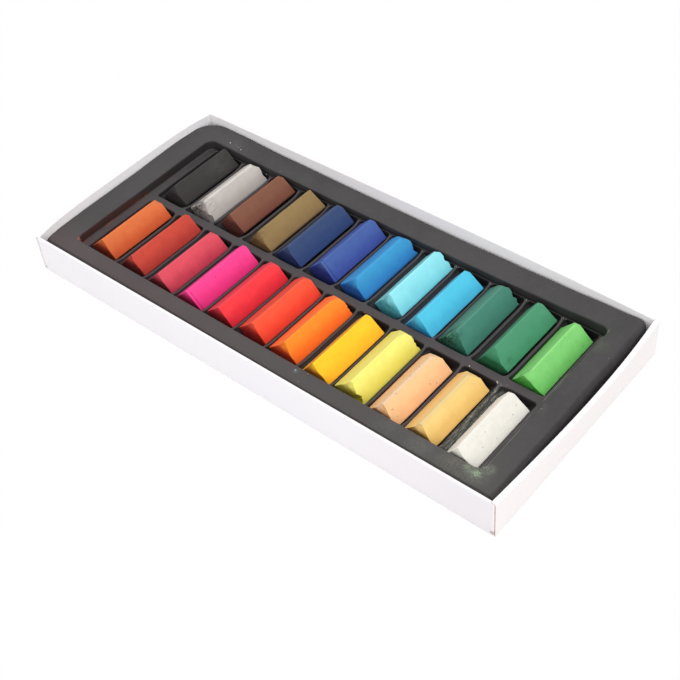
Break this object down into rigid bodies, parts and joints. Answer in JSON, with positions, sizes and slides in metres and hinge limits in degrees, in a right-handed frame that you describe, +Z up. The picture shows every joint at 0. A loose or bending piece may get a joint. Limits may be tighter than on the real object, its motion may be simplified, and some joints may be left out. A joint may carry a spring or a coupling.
{
  "type": "pastel drawer box",
  "caption": "Shallow open card tray with a black formed insert holding two rows of square half-stick soft pastels, edge up in V grooves.",
  "frame": {"origin": "middle of the card tray's underside, on the surface that it rests on", "axes": "+X along the length towards the end with the white and light green sticks, +Y from the front long wall to the back long wall, +Z up out of the open tray"},
  "size_m": [0.231, 0.1033, 0.0176],
  "materials": {
    "white_card": "smooth white lined board with a faint sheen",
    "black_formed_sheet": "satin charcoal vacuum formed sheet, dusty",
    "chalk_burnt_orange": "dry matte pressed pigment stick, burnt orange",
    "chalk_red_brown": "dry matte pressed pigment stick, red brown",
    "chalk_crimson": "dry matte pressed pigment stick, crimson",
    "chalk_magenta": "dry matte pressed pigment stick, magenta",
    "chalk_red": "dry matte pressed pigment stick, red",
    "chalk_vermilion": "dry matte pressed pigment stick, vermilion",
    "chalk_orange": "dry matte pressed pigment stick, orange",
    "chalk_amber": "dry matte pressed pigment stick, amber",
    "chalk_lemon": "dry matte pressed pigment stick, lemon",
    "chalk_peach": "dry matte pressed pigment stick, peach",
    "chalk_naples_yellow": "dry matte pressed pigment stick, naples yellow",
    "chalk_white": "dry matte pressed pigment stick, white",
    "chalk_black": "dry matte pressed pigment stick, black",
    "chalk_light_grey": "dry matte pressed pigment stick, light grey",
    "chalk_brown": "dry matte pressed pigment stick, brown",
    "chalk_olive": "dry matte pressed pigment stick, olive",
    "chalk_navy": "dry matte pressed pigment stick, navy",
    "chalk_ultramarine": "dry matte pressed pigment stick, ultramarine",
    "chalk_cobalt_blue": "dry matte pressed pigment stick, cobalt blue",
    "chalk_turquoise": "dry matte pressed pigment stick, turquoise",
    "chalk_sky_blue": "dry matte pressed pigment stick, sky blue",
    "chalk_dark_viridian": "dry matte pressed pigment stick, dark viridian",
    "chalk_green": "dry matte pressed pigment stick, green",
    "chalk_light_green": "dry matte pressed pigment stick, light green"
  },
  "bodies": {
    "tray": {"card_tray": "white_card"},
    "formed_insert": {"insert": "black_formed_sheet"},
    "stick_burnt_orange": {"pastel_burnt_orange": "chalk_burnt_orange"},
    "stick_red_brown": {"pastel_red_brown": "chalk_red_brown"},
    "stick_crimson": {"pastel_crimson": "chalk_crimson"},
    "stick_magenta": {"pastel_magenta": "chalk_magenta"},
    "stick_red": {"pastel_red": "chalk_red"},
    "stick_vermilion": {"pastel_vermilion": "chalk_vermilion"},
    "stick_orange": {"pastel_orange": "chalk_orange"},
    "stick_amber": {"pastel_amber": "chalk_amber"},
    "stick_lemon": {"pastel_lemon": "chalk_lemon"},
    "stick_peach": {"pastel_peach": "chalk_peach"},
    "stick_naples_yellow": {"pastel_naples_yellow": "chalk_naples_yellow"},
    "stick_white": {"pastel_white": "chalk_white"},
    "stick_black": {"pastel_black": "chalk_black"},
    "stick_light_grey": {"pastel_light_grey": "chalk_light_grey"},
    "stick_brown": {"pastel_brown": "chalk_brown"},
    "stick_olive": {"pastel_olive": "chalk_olive"},
    "stick_navy": {"pastel_navy": "chalk_navy"},
    "stick_ultramarine": {"pastel_ultramarine": "chalk_ultramarine"},
    "stick_cobalt_blue": {"pastel_cobalt_blue": "chalk_cobalt_blue"},
    "stick_turquoise": {"pastel_turquoise": "chalk_turquoise"},
    "stick_sky_blue": {"pastel_sky_blue": "chalk_sky_blue"},
    "stick_dark_viridian": {"pastel_dark_viridian": "chalk_dark_viridian"},
    "stick_green": {"pastel_green": "chalk_green"},
    "stick_light_green": {"pastel_light_green": "chalk_light_green"}
  },
  "joints": [
    {"name": "insert_lift", "type": "slide", "parent": "tray", "child": "formed_insert", "axis": [0, 0, 1], "range_m": [0, 0.03]},
    {"name": "lift_burnt_orange", "type": "slide", "parent": "formed_insert", "child": "stick_burnt_orange", "axis": [0, 0, 1], "range_m": [0, 0.025]},
    {"name": "lift_red_brown", "type": "slide", "parent": "formed_insert", "child": "stick_red_brown", "axis": [0, 0, 1], "range_m": [0, 0.025]},
    {"name": "lift_crimson", "type": "slide", "parent": "formed_insert", "child": "stick_crimson", "axis": [0, 0, 1], "range_m": [0, 0.025]},
    {"name": "lift_magenta", "type": "slide", "parent": "formed_insert", "child": "stick_magenta", "axis": [0, 0, 1], "range_m": [0, 0.025]},
    {"name": "lift_red", "type": "slide", "parent": "formed_insert", "child": "stick_red", "axis": [0, 0, 1], "range_m": [0, 0.025]},
    {"name": "lift_vermilion", "type": "slide", "parent": "formed_insert", "child": "stick_vermilion", "axis": [0, 0, 1], "range_m": [0, 0.025]},
    {"name": "lift_orange", "type": "slide", "parent": "formed_insert", "child": "stick_orange", "axis": [0, 0, 1], "range_m": [0, 0.025]},
    {"name": "lift_amber", "type": "slide", "parent": "formed_insert", "child": "stick_amber", "axis": [0, 0, 1], "range_m": [0, 0.025]},
    {"name": "lift_lemon", "type": "slide", "parent": "formed_insert", "child": "stick_lemon", "axis": [0, 0, 1], "range_m": [0, 0.025]},
    {"name": "lift_peach", "type": "slide", "parent": "formed_insert", "child": "stick_peach", "axis": [0, 0, 1], "range_m": [0, 0.025]},
    {"name": "lift_naples_yellow", "type": "slide", "parent": "formed_insert", "child": "stick_naples_yellow", "axis": [0, 0, 1], "range_m": [0, 0.025]},
    {"name": "lift_white", "type": "slide", "parent": "formed_insert", "child": "stick_white", "axis": [0, 0, 1], "range_m": [0, 0.025]},
    {"name": "lift_black", "type": "slide", "parent": "formed_insert", "child": "stick_black", "axis": [0, 0, 1], "range_m": [0, 0.025]},
    {"name": "lift_light_grey", "type": "slide", "parent": "formed_insert", "child": "stick_light_grey", "axis": [0, 0, 1], "range_m": [0, 0.025]},
    {"name": "lift_brown", "type": "slide", "parent": "formed_insert", "child": "stick_brown", "axis": [0, 0, 1], "range_m": [0, 0.025]},
    {"name": "lift_olive", "type": "slide", "parent": "formed_insert", "child": "stick_olive", "axis": [0, 0, 1], "range_m": [0, 0.025]},
    {"name": "lift_navy", "type": "slide", "parent": "formed_insert", "child": "stick_navy", "axis": [0, 0, 1], "range_m": [0, 0.025]},
    {"name": "lift_ultramarine", "type": "slide", "parent": "formed_insert", "child": "stick_ultramarine", "axis": [0, 0, 1], "range_m": [0, 0.025]},
    {"name": "lift_cobalt_blue", "type": "slide", "parent": "formed_insert", "child": "stick_cobalt_blue", "axis": [0, 0, 1], "range_m": [0, 0.025]},
    {"name": "lift_turquoise", "type": "slide", "parent": "formed_insert", "child": "stick_turquoise", "axis": [0, 0, 1], "range_m": [0, 0.025]},
    {"name": "lift_sky_blue", "type": "slide", "parent": "formed_insert", "child": "stick_sky_blue", "axis": [0, 0, 1], "range_m": [0, 0.025]},
    {"name": "lift_dark_viridian", "type": "slide", "parent": "formed_insert", "child": "stick_dark_viridian", "axis": [0, 0, 1], "range_m": [0, 0.025]},
    {"name": "lift_green", "type": "slide", "parent": "formed_insert", "child": "stick_green", "axis": [0, 0, 1], "range_m": [0, 0.025]},
    {"name": "lift_light_green", "type": "slide", "parent": "formed_insert", "child": "stick_light_green", "axis": [0, 0, 1], "range_m": [0, 0.025]}
  ]
}
